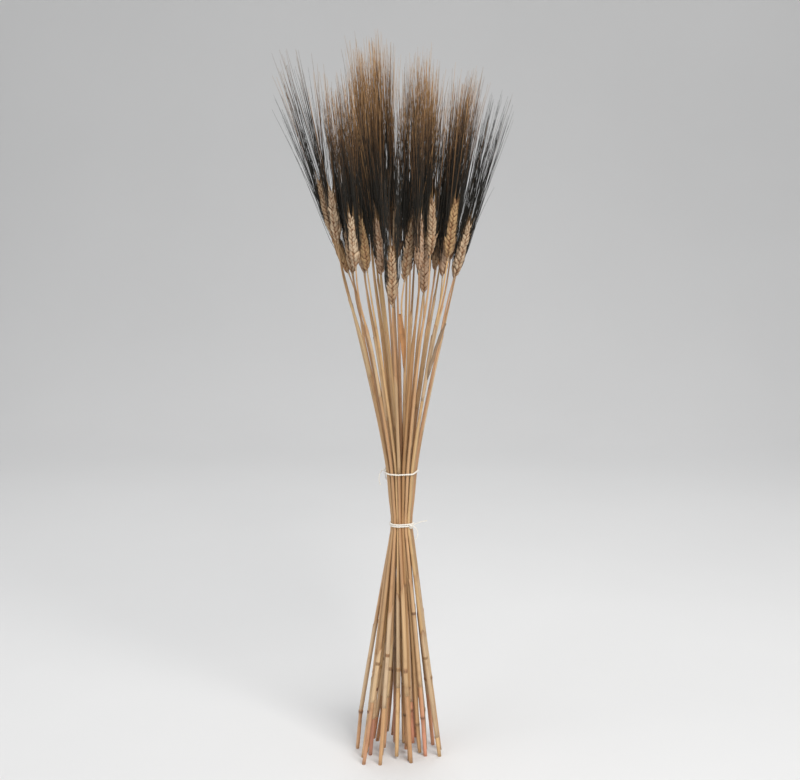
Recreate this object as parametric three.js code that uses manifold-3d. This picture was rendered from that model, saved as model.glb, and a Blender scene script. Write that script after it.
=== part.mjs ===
// A tied bundle of bearded wheat that stands on its own cut straws.
// Each stalk is one grown piece, a culm (the straw) with an ear on top, and two string ties hold the stalks
// together.
// Millimetres, +Z up, the front of the bundle at -Y. The origin is on the floor, under the middle of the
// bundle's box.
import * as THREE from "three";
import { mergeVertices } from "three/addons/utils/BufferGeometryUtils.js";
import Module from "manifold-3d";

const wasm = await Module();
wasm.setup();

// Driving dimensions.
const EAR_LENGTH = 63;
const EAR_WIDTH = 13;
const EAR_DEPTH = 11;
const AWN_LENGTH = 166;
const AWN_BASE_RADIUS = 0.35;
const AWN_SPREAD = THREE.MathUtils.degToRad(4.5);
const AWNS_PER_EAR = 4;
const AWN_START_SHARE = 0.68;
const EAR_ROLL = 2.4;
const EAR_SCALE_LEAST = 0.95;
const EAR_SCALE_RANGE = 0.1;
const CULM_FOOT_RADIUS = 2.1;
const CULM_WAIST_RADIUS = 1.45;
const CULM_STEM_RADIUS = 1.7;
const CULM_COLLAR_RADIUS = 1.05;
const CULM_NECK_LENGTH = 60;
const BENT_NECK_LENGTH = 24;
const DEPTH_LEAN_SHARE = 0.55;
const FOOT_CIRCLE_RADIUS = 48;
const FOOT_SCATTER = 8;
const FOOT_TWIST = THREE.MathUtils.degToRad(24);
const RAISED_FOOT_MOST = 14;
const RAISED_FOOT_SHARE = 0.42;
const LOWER_TIE_HEIGHT = 273;
const UPPER_TIE_HEIGHT = 334;
const UPPER_TIE_OPENING = 1.5;
const STEM_HEIGHT = 425;
const SPLAY_EASE = 1.15;
const STRING_RADIUS = 0.95;
const STRING_PITCH = 2.1 * STRING_RADIUS;
const KNOT_RADIUS = 2.4 * STRING_RADIUS;
const LEAF_LENGTH = 66;
const LEAF_WIDTH = 4.2;
const LEAF_THICKNESS = 0.6;

// Pieces that touch keep this gap.
const GAP = 0.3;

// How far an ear reaches down over the end of its culm.
const EAR_LAP = 0.5;

// How the culms are packed at the lower tie: the share of the collars' spread to start from, then the rounds
// of being drawn in. The tie stands a little to the right of the middle.
const WAIST_START = 0.17;
const WAIST_ROUNDS = 400;
const WAIST_PULL = 0.004;
const WAIST_SLACK = 1.01;
const WAIST_ASIDE = new THREE.Vector2(1.8, 0);
const LEVEL_ROUNDS = 30;
const FOOT_ROUNDS = 40;
const FOOT_ROOM = 1.2;

// Ears as [across, depth, height, lean]: where the ear's collar is, and how far the ear leans across for each
// unit of rise. The front ones stand as the ears in the picture of the bundle; the others fill the middle and
// the back.
const EARS = [
  [-72, 6, 597, -0.25],
  [-67, -15, 594, -0.12],
  [-57, 23, 555, -0.36],
  [-47, -50, 570, -0.08],
  [-35, -42, 566, -0.14],
  [-51, -5, 558, -0.1],
  [-38, -22, 561, -0.1],
  [-20, -36, 561, -0.1],
  [-8, -56, 531, -0.015],
  [5, -34, 555, 0.135],
  [11, -14, 572, 0.01],
  [20, -46, 567, 0],
  [26, -16, 538, 0],
  [32, -36, 581, 0.03],
  [38, -3, 562, 0.11],
  [51, -34, 578, 0.135],
  [46, -17, 557, 0.08],
  [59, -2, 553, 0.26],
  [62, 15, 556, 0.22],
  [-22, -7, 571, -0.05],
  [-42, 16, 588, -0.07],
  [-17, 14, 604, -0.05],
  [-29, 45, 602, -0.06],
  [-11, 48, 596, -0.06],
  [-3, -14, 575, 0],
  [8, 10, 590, 0.02],
  [24, 41, 590, 0.02],
  [43, 24, 580, 0.16],
  [-32, 3, 600, -0.06],
  [-12, 31, 608, -0.05],
  [-31, 27, 594, -0.05],
  [17, 25, 596, 0.04],
  [30, 8, 592, 0.04],
  [55, 10, 572, 0.13],
  [48, 42, 586, 0.14],
  [-56, 34, 580, -0.1],
];
const COLLARS = EARS.map(([across, depth, height]) => new THREE.Vector3(across, depth, height));
const LEANS = EARS.map((ear) => ear[3]);

const AXIS = new THREE.Vector2(0, 0);

// Heights at which every culm has a ring of its own, from the floor up.
const LEVELS = [0, 60, 115, 168, 215, 250, LOWER_TIE_HEIGHT, 303, UPPER_TIE_HEIGHT, 370, STEM_HEIGHT, 478];

const STRAW = new THREE.MeshStandardMaterial({ name: "straw", color: 0xc39b66, roughness: 0.55 });
const STRING = new THREE.MeshStandardMaterial({ name: "string", color: 0xe4dccd, roughness: 0.95 });
const DRY_LEAF = new THREE.MeshStandardMaterial({ name: "dry_leaf", color: 0xa5825c, roughness: 0.8 });

// A repeatable number from 0 to 1 for each seed.
function chance(seed) {
  const wave = Math.sin(seed * 12.9898) * 43758.5453;
  return wave - Math.floor(wave);
}

// Pushes points apart in the horizontal plane until no two are closer than the spacing.
// A pull above zero first draws them towards the axis, as a tie does.
function settle(points, spacing, rounds, pull) {
  const between = new THREE.Vector2();
  for (let round = 0; round < rounds; round++) {
    for (const point of points) point.multiplyScalar(1 - pull);
    points.forEach((a, i) => {
      for (const b of points.slice(i + 1)) {
        between.subVectors(b, a);
        const short = spacing - between.length();
        if (short <= 0) continue;
        between.setLength(short / 2);
        a.sub(between);
        b.add(between);
      }
    });
  }
  return points;
}

// Where the culms lie at the lower tie: the collars drawn in until the culms are packed together.
function packWaist() {
  const spacing = 2 * CULM_WAIST_RADIUS + GAP;
  const points = COLLARS.map((collar) => new THREE.Vector2(collar.x, collar.y).multiplyScalar(WAIST_START));
  settle(points, spacing, WAIST_ROUNDS, WAIST_PULL);
  settle(points, spacing * WAIST_SLACK, WAIST_ROUNDS, 0);
  const middle = points.reduce((sum, point) => sum.add(point), new THREE.Vector2());
  middle.divideScalar(points.length);
  return points.map((point) => point.sub(middle).add(WAIST_ASIDE));
}

// Where the culms stand: the waist opened out to the foot circle and twisted, with a little scatter.
function placeFeet(waist) {
  const reach = Math.max(...waist.map((point) => point.distanceTo(WAIST_ASIDE)));
  const feet = waist.map((point, i) => {
    const scatter = new THREE.Vector2(chance(i + 0.3) - 0.5, chance(i + 0.7) - 0.5);
    const opened = point.clone().sub(WAIST_ASIDE).multiplyScalar(FOOT_CIRCLE_RADIUS / reach);
    return opened.rotateAround(AXIS, FOOT_TWIST).addScaledVector(scatter, 2 * FOOT_SCATTER);
  });
  return settle(feet, 2 * CULM_FOOT_RADIUS + FOOT_ROOM, FOOT_ROUNDS, 0);
}

// The culm's radius at a height: widest at the foot, pressed slim between the ties, fuller over them, and
// slim again in the neck of the ear.
function culmRadius(height, collarHeight) {
  if (height <= LOWER_TIE_HEIGHT)
    return THREE.MathUtils.lerp(CULM_FOOT_RADIUS, CULM_WAIST_RADIUS, height / LOWER_TIE_HEIGHT);
  const free = THREE.MathUtils.clamp((height - UPPER_TIE_HEIGHT) / (STEM_HEIGHT - UPPER_TIE_HEIGHT), 0, 1);
  const stem = THREE.MathUtils.lerp(CULM_WAIST_RADIUS, CULM_STEM_RADIUS, free);
  const neck = THREE.MathUtils.clamp(1 - (collarHeight - height) / CULM_NECK_LENGTH, 0, 1);
  return THREE.MathUtils.lerp(stem, CULM_COLLAR_RADIUS, neck);
}

// The centrelines of all culms, one point a level, with each level settled so that no two culms touch.
// Over the last level each culm bends in its neck to its ear's own lean, which in depth is a share of the
// culm's.
function culmLines() {
  const waist = packWaist();
  const feet = placeFeet(waist);
  const footReach = Math.max(...feet.map((foot) => foot.length()));
  const lines = COLLARS.map(() => []);
  for (const level of LEVELS) {
    const section = COLLARS.map((collar, i) => {
      if (level <= LOWER_TIE_HEIGHT) {
        return feet[i].clone().lerp(waist[i], level / LOWER_TIE_HEIGHT);
      }
      const opened = waist[i].clone().sub(WAIST_ASIDE).multiplyScalar(UPPER_TIE_OPENING).add(WAIST_ASIDE);
      if (level <= UPPER_TIE_HEIGHT) {
        const up = (level - LOWER_TIE_HEIGHT) / (UPPER_TIE_HEIGHT - LOWER_TIE_HEIGHT);
        return waist[i].clone().lerp(opened, up);
      }
      const up = (level - UPPER_TIE_HEIGHT) / (collar.z - UPPER_TIE_HEIGHT);
      return opened.lerp(new THREE.Vector2(collar.x, collar.y), up ** SPLAY_EASE);
    });
    const rounds = level === LOWER_TIE_HEIGHT ? 0 : LEVEL_ROUNDS;
    settle(section, 2 * (culmRadius(level, Infinity) + GAP), rounds, 0);
    section.forEach((point, i) => lines[i].push(new THREE.Vector3(point.x, point.y, level)));
  }
  lines.forEach((line, i) => {
    const collar = COLLARS[i];
    const straight = collar.clone().sub(line.at(-1));
    const depthLean = (DEPTH_LEAN_SHARE * straight.y) / straight.z;
    const heading = new THREE.Vector3(LEANS[i], depthLean, 1).normalize();
    line.push(collar.clone().addScaledVector(heading, -BENT_NECK_LENGTH), collar.clone());
    const inner = 1 - line[0].clone().setZ(0).length() / footReach;
    line[0].z = inner > RAISED_FOOT_SHARE ? RAISED_FOOT_MOST * chance(i + 0.5) : 0;
  });
  return lines;
}

// The direction of a line of points at one of them.
function tangentAt(line, k) {
  const before = line[Math.max(k - 1, 0)];
  const after = line[Math.min(k + 1, line.length - 1)];
  return after.clone().sub(before).normalize();
}

// A closed cylinder whose rings are moved onto a line of points. The ring at point k is an ellipse with the
// half sizes that halfSizes(k) gives, along the side direction and across it.
function sweep(line, sides, halfSizes, side = new THREE.Vector3(1, 0, 0)) {
  const steps = line.length - 1;
  const geometry = new THREE.CylinderGeometry(1, 1, steps, sides, steps);
  const position = geometry.getAttribute("position");
  const local = new THREE.Vector3();
  for (let v = 0; v < position.count; v++) {
    local.fromBufferAttribute(position, v);
    const k = Math.round(local.y + steps / 2);
    const along = tangentAt(line, k);
    const across = side.clone().addScaledVector(along, -side.dot(along)).normalize();
    const outward = across.clone().cross(along);
    const [wide, deep] = halfSizes(k);
    const moved = line[k].clone();
    moved.addScaledVector(across, local.x * wide).addScaledVector(outward, local.z * deep);
    position.setXYZ(v, moved.x, moved.y, moved.z);
  }
  return geometry;
}

// A culm: a tapered tube along its line, cut level with the floor.
function culmGeometry(line) {
  const top = line[line.length - 1].z;
  const geometry = sweep(line, 6, (k) => Array(2).fill(culmRadius(line[k].z, top)));
  const position = geometry.getAttribute("position");
  const lowest = line[0].z + CULM_FOOT_RADIUS;
  for (let v = 0; v < position.count; v++)
    if (position.getZ(v) < lowest) position.setZ(v, line[0].z);
  return geometry;
}

// A closed geometry as a solid, and a solid as a geometry.
function solidOf(geometry) {
  const bare = geometry.index ? geometry.toNonIndexed() : geometry.clone();
  bare.deleteAttribute("normal");
  bare.deleteAttribute("uv");
  const merged = mergeVertices(bare, 1e-4);
  const vertProperties = merged.getAttribute("position").array;
  const triVerts = new Uint32Array(merged.index.array);
  return new wasm.Manifold(new wasm.Mesh({ numProp: 3, vertProperties, triVerts }));
}

function geometryOf(solid) {
  const mesh = solid.getMesh();
  const geometry = new THREE.BufferGeometry();
  geometry.setAttribute("position", new THREE.BufferAttribute(mesh.vertProperties, 3));
  geometry.setIndex(new THREE.BufferAttribute(mesh.triVerts, 1));
  return geometry;
}

function joined(geometries) {
  return geometryOf(geometries.map(solidOf).reduce((whole, solid) => whole.add(solid)));
}

// An ear standing on its collar along +Y: a spindle of spikelets with a few awns that mark out its beard.
function earGeometry() {
  const swell = [
    [0, 0],
    [0.2, 0],
    [0.72, 0.09],
    [1, 0.3],
    [0.9, 0.62],
    [0.5, 0.93],
    [0, 1],
  ].map(([radius, height]) => new THREE.Vector2((radius * EAR_WIDTH) / 2, height * EAR_LENGTH));
  const spike = new THREE.LatheGeometry(swell, 6).scale(1, 1, EAR_DEPTH / EAR_WIDTH);
  const pieces = [spike];
  for (let n = 0; n < AWNS_PER_EAR; n++) {
    const awn = new THREE.ConeGeometry(AWN_BASE_RADIUS, AWN_LENGTH, 3);
    awn.translate(0, AWN_LENGTH / 2, 0);
    awn.rotateX(AWN_SPREAD);
    awn.rotateY((2 * Math.PI * (n + 0.5)) / AWNS_PER_EAR);
    awn.translate(0, EAR_LENGTH * AWN_START_SHARE, 0);
    pieces.push(awn);
  }
  return joined(pieces);
}

// The corners of the tightest convex outline around points, anticlockwise.
function outline(points) {
  const sorted = [...points].sort((a, b) => a.x - b.x || a.y - b.y);
  const half = (list) => {
    const chain = [];
    for (const point of list) {
      while (chain.length > 1) {
        const [a, b] = chain.slice(-2);
        if (b.clone().sub(a).cross(point.clone().sub(b)) > 0) break;
        chain.pop();
      }
      chain.push(point);
    }
    return chain.slice(0, -1);
  };
  return [...half(sorted), ...half(sorted.reverse())];
}

// The path of a taut string round culms: straight between them, and an arc round each one it touches.
function tautLoop(centres, clearance) {
  const corners = outline(centres);
  const path = [];
  corners.forEach((corner, i) => {
    const before = corners.at(i - 1);
    const after = corners[(i + 1) % corners.length];
    const from = Math.atan2(before.x - corner.x, corner.y - before.y);
    const to = Math.atan2(corner.x - after.x, after.y - corner.y);
    const turn = THREE.MathUtils.euclideanModulo(to - from, 2 * Math.PI);
    for (const share of [0, 0.5, 1]) {
      const angle = from + turn * share;
      path.push(new THREE.Vector2(Math.cos(angle), Math.sin(angle)).multiplyScalar(clearance).add(corner));
    }
  });
  return path;
}

// A string tie at a height: its turns round the culms, a knot on the side that faces the given direction,
// and two tails that leave the knot.
function tieGeometry(lines, height, turns, facing, tails) {
  const level = LEVELS.indexOf(height);
  const centres = lines.map((line) => new THREE.Vector2(line[level].x, line[level].y));
  const loop = tautLoop(centres, CULM_WAIST_RADIUS + GAP + STRING_RADIUS);
  const ahead = loop.map((point) => point.dot(facing));
  const start = ahead.indexOf(Math.max(...ahead));
  const path = [];
  for (let n = 0; n <= turns * loop.length; n++) {
    const point = loop[(start + n) % loop.length];
    const rise = (n / loop.length - turns / 2) * STRING_PITCH;
    path.push(new THREE.Vector3(point.x, point.y, height + rise));
  }
  const round = () => [STRING_RADIUS, STRING_RADIUS];
  const upright = new THREE.Vector3(0, 0, 1);
  const knotPlace = new THREE.Vector3(loop[start].x, loop[start].y, height);
  knotPlace.add(new THREE.Vector3(facing.x, facing.y, 0).setLength(STRING_RADIUS));
  const knot = new THREE.SphereGeometry(KNOT_RADIUS, 8, 6).rotateX(Math.PI / 2);
  knot.translate(knotPlace.x, knotPlace.y, knotPlace.z);
  const ends = tails.map((tail) => {
    const points = tail.map(([out, along, up]) =>
      knotPlace.clone().add(new THREE.Vector3(
        facing.x * out - facing.y * along,
        facing.y * out + facing.x * along,
        up,
      )));
    const curve = new THREE.CatmullRomCurve3(points);
    return sweep(curve.getSpacedPoints(10), 6, round, new THREE.Vector3(-facing.y, facing.x, 0.3));
  });
  return joined([sweep(path, 6, round, upright), knot, ...ends]);
}

// A dry leaf blade that leaves its culm at a height and stands off it a little towards its tip.
function leafGeometry(line, height, side, spread) {
  const curve = new THREE.CatmullRomCurve3(line);
  const dense = curve.getPoints(400);
  const steps = 8;
  const blade = [];
  for (let k = 0; k <= steps; k++) {
    const share = k / steps;
    const at = height + share * LEAF_LENGTH;
    const on = dense.reduce((best, point) => (Math.abs(point.z - at) < Math.abs(best.z - at) ? point : best));
    const off = CULM_STEM_RADIUS + GAP + LEAF_THICKNESS + spread * share * share;
    blade.push(on.clone().addScaledVector(side, off));
  }
  const flat = side.clone().cross(new THREE.Vector3(0, 0, 1));
  return sweep(blade, 6, (k) => {
    const share = k / steps;
    const wide = (LEAF_WIDTH / 2) * (0.45 + 0.55 * Math.sin(Math.PI * (0.15 + 0.75 * share)));
    return [wide, LEAF_THICKNESS / 2];
  }, flat);
}

function named(name, geometry, material) {
  const mesh = new THREE.Mesh(geometry, material);
  mesh.name = name;
  return mesh;
}

const bundle = new THREE.Group();
const lines = culmLines();
const ear = earGeometry();
const up = new THREE.Vector3(0, 1, 0);
lines.forEach((line, i) => {
  const heading = line.at(-1).clone().sub(line.at(-2)).normalize();
  const place = new THREE.Object3D();
  place.quaternion.setFromUnitVectors(up, heading);
  place.rotateY(i * EAR_ROLL);
  place.position.copy(line.at(-1)).addScaledVector(heading, -EAR_LAP);
  place.scale.setScalar(EAR_SCALE_LEAST + EAR_SCALE_RANGE * chance(i + 0.9));
  place.updateMatrix();
  const stalk = joined([culmGeometry(line), ear.clone().applyMatrix4(place.matrix)]);
  bundle.add(named(`stalk_${String(i + 1).padStart(2, "0")}`, stalk, STRAW));
});

const RIGHT = new THREE.Vector2(0.94, -0.34);
const LEFT_REAR = new THREE.Vector2(-0.94, 0.34);
bundle.add(named("lower_tie", tieGeometry(lines, LOWER_TIE_HEIGHT, 2, RIGHT, [
  [[0, 0, 0], [5, 0, -1.5], [8, -0.5, -6], [8, -1, -11], [5, -1.5, -16]],
  [[0, 0, 0], [6, 1, 3], [12, 2, 5.5], [18, 3, 7]],
]), STRING));
bundle.add(named("upper_tie", tieGeometry(lines, UPPER_TIE_HEIGHT, 1, LEFT_REAR, [
  [[0, 0, 0], [4, 2, -0.5], [6.5, 4, -5], [7, 5, -11], [5.5, 5, -17]],
  [[0, 0, 0], [3, -4, 0], [4.5, -7, -4], [4.5, -8.5, -9], [3.5, -9, -14]],
]), STRING));

const RIGHT_FRONT = new THREE.Vector3(0.8, -0.6, 0);
const FRONT = new THREE.Vector3(-0.3, -0.95, 0).normalize();
bundle.add(named("leaf_blade_right", leafGeometry(lines[15], 442, RIGHT_FRONT, 9), DRY_LEAF));
bundle.add(named("leaf_blade_front", leafGeometry(lines[9], 452, FRONT, 5), DRY_LEAF));

// The origin goes under the middle of the box.
const box = new THREE.Box3().setFromObject(bundle, true);
const middle = box.getCenter(new THREE.Vector3());
bundle.position.set(-middle.x, -middle.y, -box.min.z);
const wheatBundle = new THREE.Group().add(bundle);

export default wheatBundle;
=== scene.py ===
"""A string-tied bundle of dried bearded wheat, standing on its cut straws.

Every stalk follows its node in the frame: the lowest rings of the node give the culm's line, and the last
two of them give the direction of its ear. Lengths are in metres, colours are linear.
"""
from dataclasses import dataclass

import bpy
import numpy as np
from bpy.props import FloatProperty, FloatVectorProperty, IntProperty, PointerProperty
from mathutils import Euler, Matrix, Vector


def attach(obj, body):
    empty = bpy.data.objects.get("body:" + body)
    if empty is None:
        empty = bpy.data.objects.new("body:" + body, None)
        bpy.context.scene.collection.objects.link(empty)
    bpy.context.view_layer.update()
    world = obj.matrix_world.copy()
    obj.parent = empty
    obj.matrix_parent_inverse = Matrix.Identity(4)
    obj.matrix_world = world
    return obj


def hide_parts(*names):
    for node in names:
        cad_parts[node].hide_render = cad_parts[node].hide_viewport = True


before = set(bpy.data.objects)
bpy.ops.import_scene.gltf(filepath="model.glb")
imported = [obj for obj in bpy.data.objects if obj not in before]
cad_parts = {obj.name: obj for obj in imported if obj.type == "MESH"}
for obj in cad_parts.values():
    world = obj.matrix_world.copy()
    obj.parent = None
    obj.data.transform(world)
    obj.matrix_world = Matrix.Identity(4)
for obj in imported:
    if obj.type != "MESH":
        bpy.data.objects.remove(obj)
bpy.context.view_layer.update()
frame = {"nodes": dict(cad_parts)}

bl_info = {
    "name": "Bearded wheat bundle",
    "version": (1, 0, 0),
    "blender": (4, 5, 0),
    "location": "3D View > Sidebar > Wheat",
    "description": "Builds a standing bundle of dried bearded wheat held by two string ties",
    "category": "Add Mesh",
}

MM = 0.001

RING_JUMP = 2 * MM
CULM_RINGS = 14
COLLAR_RADIUS = 1.05 * MM
LOWER_TIE_RING, UPPER_TIE_RING = 6, 8
TIE_ASIDE = 1.8 * MM
UP = np.array([0.0, 0.0, 1.0])


def srgb(red, green, blue):
    """A linear colour from screen values of 0 to 255, by the usual curve with its straight foot."""
    value = np.array([red, green, blue]) / 255.0
    return tuple(np.where(value <= 0.04045, value / 12.92, ((value + 0.055) / 1.055) ** 2.4))


def length_property(name, description, millimetres):
    """A length that the sidebar shows in the scene's units."""
    return FloatProperty(name=name, description=description, default=millimetres * MM, unit="LENGTH",
                         precision=5)


def colour_property(name, description, colour):
    """A linear colour with a swatch in the sidebar."""
    return FloatVectorProperty(name=name, description=description, default=colour, subtype="COLOR",
                               min=0.0, max=1.0)


class WheatCulmSettings(bpy.types.PropertyGroup):
    """Sizes and colours of the straws."""

    sides: IntProperty(name="Sides", description="Flats around a straw", default=12, min=6, max=32)
    wall: length_property("Wall", "Thickness of the hollow straw's wall", 0.55)
    hollow: length_property("Hollow", "Depth of the hollow that shows in a cut end", 14.0)
    sheath: length_property("Sheath", "How far a leaf sheath stands off its straw", 0.24)
    straw: colour_property("Straw", "Ripe straw", srgb(192, 154, 110))
    pale: colour_property("Pale straw", "Bleached straw and sheaths", srgb(208, 182, 147))
    rust: colour_property("Rust", "Reddish straw", srgb(168, 119, 80))
    node: colour_property("Node", "The dark joint of a straw", srgb(96, 66, 46))
    blush: colour_property("Blush", "Reddish tint near some cut ends", srgb(206, 138, 114))


class WheatEarSettings(bpy.types.PropertyGroup):
    """Sizes and colours of the ears without their awns."""

    spikelets: IntProperty(name="Spikelets", description="Spikelets on an ear, left and right in turn",
                           default=24, min=6, max=40)
    share: FloatProperty(name="Ear share", default=0.302, subtype="FACTOR",
                         description="Ear length as a share of the reach from collar to awn tip")
    cream: colour_property("Cream", "Crown of the palest husks", srgb(200, 178, 149))
    tan: colour_property("Tan", "Crown of tan husks", srgb(178, 154, 124))
    golden: colour_property("Golden", "Crown of golden husks", srgb(167, 138, 97))
    mauve: colour_property("Mauve", "Crown of dull husks", srgb(182, 156, 131))
    # Brown for the painted shade at the husks' edges, insides and feet, and for their random wear.
    gap: colour_property("Gap", "Edges and feet of the husks", srgb(138, 98, 64))
    # Darker brown of the core inside the ear, painted shade between the husks.
    core: colour_property("Core", "Inside of the ear", srgb(120, 86, 56))


class WheatAwnSettings(bpy.types.PropertyGroup):
    """Sizes and colours of the awns."""

    length: length_property("Length", "Longest awn", 194.0)
    radius: length_property("Radius", "Radius of an awn at its husk", 0.31)
    dark_height: length_property("Dark height", "Height over the floor up to which the awns are dark", 702.0)
    dark: colour_property("Dark", "Lower part of an awn", srgb(42, 39, 33))
    brown: colour_property("Brown", "Middle of an awn", srgb(120, 86, 54))
    tip: colour_property("Tip", "Upper part of an awn", srgb(180, 140, 92))


class WheatTieSettings(bpy.types.PropertyGroup):
    """Sizes and colour of the string ties."""

    strand: length_property("Strand", "Radius of each of the string's two strands", 0.54)
    pitch: length_property("Pitch", "Length of one twist of the string", 4.2)
    colour: colour_property("String", "Undyed cotton", srgb(238, 233, 223))


class WheatLeafSettings(bpy.types.PropertyGroup):
    """Sizes and colours of the dry leaf blades."""

    width: length_property("Width", "Widest part of a blade", 5.8)
    thickness: length_property("Thickness", "Thickness of a blade", 0.35)
    dull: colour_property("Dull", "Weathered blade", srgb(152, 127, 102))
    warm: colour_property("Warm", "Sound blade", srgb(176, 127, 83))


class WheatStageSettings(bpy.types.PropertyGroup):
    """Camera, light and floor."""

    distance: length_property("Distance", "Camera's distance in front of the bundle's middle", 1737.0)
    height: length_property("Height", "Camera's height over the floor", 787.0)
    pitch: FloatProperty(name="Pitch", description="How far the camera looks down", default=np.radians(11.7),
                         subtype="ANGLE")
    lens: FloatProperty(name="Lens", description="Focal length in millimetres on a 36 mm sensor",
                        default=72.0)
    floor: colour_property("Floor", "Pale floor and backdrop", srgb(228, 228, 228))


@dataclass
class Stalk:
    """One stalk: the points of its culm's line from foot to collar, and the culm's radius at each."""

    number: str
    knots: np.ndarray
    radii: np.ndarray

    @property
    def collar(self):
        return self.knots[-1]

    @property
    def heading(self):
        return unit(self.knots[-1] - self.knots[-2])

    def random(self, purpose):
        """A random generator that is the same on every run, one for each stalk and purpose."""
        return np.random.default_rng([int(self.number), purpose])


CULM_DRAWS, EAR_DRAWS, AWN_DRAWS, BOW_DRAWS = 1, 2, 3, 4
SHEATH_DRAWS, HUSK_DRAWS, HUE_DRAWS = 11, 12, 22


def unit(vectors):
    """Vectors divided by their lengths."""
    return vectors / np.linalg.norm(vectors, axis=-1, keepdims=True)


def mixed(first, second, share):
    """Colours between first and second: first at share 0, second at share 1."""
    share = np.asarray(share)[..., None]
    return np.asarray(first) * (1.0 - share) + np.asarray(second) * share


def smoothstep(low, high, value):
    """0 below low, 1 above high, and the cubic 3s^2 - 2s^3 between."""
    share = np.clip((value - low) / (high - low), 0.0, 1.0)
    return share * share * (3.0 - 2.0 * share)


def bump_at(value, centre, width):
    """A bell curve of height 1 round a centre."""
    return np.exp(-(((value - centre) / width) ** 2))


def full_turn(sides):
    """Evenly spaced angles of a whole turn."""
    return np.linspace(0.0, 2.0 * np.pi, sides, endpoint=False)


def lengths_along(line):
    """The length along a line of points at each of them."""
    return np.r_[0.0, np.cumsum(np.linalg.norm(np.diff(line, axis=0), axis=1))]


def node_points(name):
    """The vertices of a frame node as rows of x, y, z."""
    vertices = frame["nodes"][name].data.vertices
    points = np.empty(len(vertices) * 3, np.float32)
    vertices.foreach_get("co", points)
    return points.reshape(-1, 3).astype(float)


def node_rings(name):
    """The centre and the half width of each ring of a swept node, from the lowest up.

    The vertices are sorted by height and split where the height jumps by more than RING_JUMP.
    """
    points = np.unique(np.round(node_points(name), 7), axis=0)
    points = points[np.argsort(points[:, 2])]
    rings = np.split(points, np.flatnonzero(np.diff(points[:, 2]) > RING_JUMP) + 1)
    centres = np.array([ring.mean(axis=0) for ring in rings])
    widths = [np.linalg.norm(ring - centre, axis=1).max() for ring, centre in zip(rings, centres)]
    return centres, np.array(widths)


def read_stalk(node):
    """A stalk of the frame: the rings up to the collar are its culm's."""
    centres, widths = node_rings(node)
    radii = np.r_[widths[:CULM_RINGS - 1], COLLAR_RADIUS]
    return Stalk(node.removeprefix("stalk_"), centres[:CULM_RINGS], radii)


stalks = [read_stalk(node) for node in sorted(frame["nodes"]) if node.startswith("stalk_")]
MIDDLE = np.mean([stalk.knots[LOWER_TIE_RING] for stalk in stalks], axis=0) * (1.0, 1.0, 0.0)


def smooth_line(knots, at):
    """Points on a curve through knots, at lengths along their chords.

    Each span is a cubic Hermite curve whose end tangents are weighted mean slopes of the chords beside it.
    """
    chord = lengths_along(knots)
    slopes = np.gradient(knots, chord, axis=0)
    span = np.clip(np.searchsorted(chord, at, side="right") - 1, 0, len(knots) - 2)
    step = (chord[span + 1] - chord[span])[:, None]
    t = (at - chord[span])[:, None] / step
    rise = t * t * (3.0 - 2.0 * t)
    leave = t * (1.0 - t) ** 2 * step
    arrive = t * t * (t - 1.0) * step
    return (knots[span] * (1.0 - rise) + knots[span + 1] * rise
            + slopes[span] * leave + slopes[span + 1] * arrive)


def chord_length(knots):
    """The length of a line of points."""
    return np.linalg.norm(np.diff(knots, axis=0), axis=1).sum()


def directions_across(line, side):
    """Two directions across a line at each of its points: the nearest to side, and the one square to it."""
    ahead = unit(np.gradient(line, axis=0))
    across = unit(np.asarray(side) - (ahead @ np.asarray(side))[:, None] * ahead)
    return across, np.cross(ahead, across)


def tube_rings(line, radius, sides, side=(1.0, 0.0, 0.0)):
    """Rings round a line: each point plus its radius times cos and sin in the plane across the line.

    Returns the rings and the straightened place of each of their points, (r cos, r sin, length along the
    line), which the fibre patterns read.
    """
    across, beside = directions_across(line, side)
    turn = full_turn(sides)
    x = radius[:, None] * np.cos(turn)
    y = radius[:, None] * np.sin(turn)
    rings = line[:, None] + x[..., None] * across[:, None] + y[..., None] * beside[:, None]
    fibre = np.stack([x, y, np.broadcast_to(lengths_along(line)[:, None], x.shape)], axis=-1)
    return rings, fibre


@dataclass
class Surface:
    """Points, the faces' corner points one after another, each face's corner count, and point values."""

    points: np.ndarray
    corners: np.ndarray
    sizes: np.ndarray
    tone: np.ndarray
    fibre: np.ndarray


def closed_tubes(rings, tone, fibre):
    """A surface of like tubes from arrays of (tube, ring, side, 3), each closed by a fan at both ends.

    Ring i and side j make a quad with ring i + 1 and side j + 1, counted so that it faces outwards.
    """
    tubes, along, around, _ = rings.shape

    def with_poles(values):
        body = values.reshape(tubes, along * around, 3)
        ends = values[:, [0, -1]].mean(axis=2)
        return np.concatenate([body, ends], axis=1).reshape(-1, 3)

    ring, spoke = np.meshgrid(np.arange(along - 1), np.arange(around), indexing="ij")
    beside = (spoke + 1) % around
    quads = np.stack([ring * around + spoke, ring * around + beside,
                      (ring + 1) * around + beside, (ring + 1) * around + spoke], axis=-1)
    spoke = np.arange(around)
    beside = (spoke + 1) % around
    last = (along - 1) * around
    foot = np.full(around, along * around)
    fans = np.concatenate([np.stack([foot, beside, spoke], axis=-1),
                           np.stack([foot + 1, last + spoke, last + beside], axis=-1)])
    start = np.arange(tubes)[:, None] * (along * around + 2)
    corners = np.concatenate([(quads.reshape(1, -1) + start).ravel(), (fans.reshape(1, -1) + start).ravel()])
    sizes = np.repeat([4, 3], [tubes * (along - 1) * around, tubes * 2 * around])
    return Surface(with_poles(rings), corners, sizes, with_poles(tone), with_poles(fibre))


def closed_tube(rings, tone, fibre):
    """The surface of a single closed tube, from arrays of (ring, side, 3)."""
    return closed_tubes(rings[None], tone[None], fibre[None])


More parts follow.
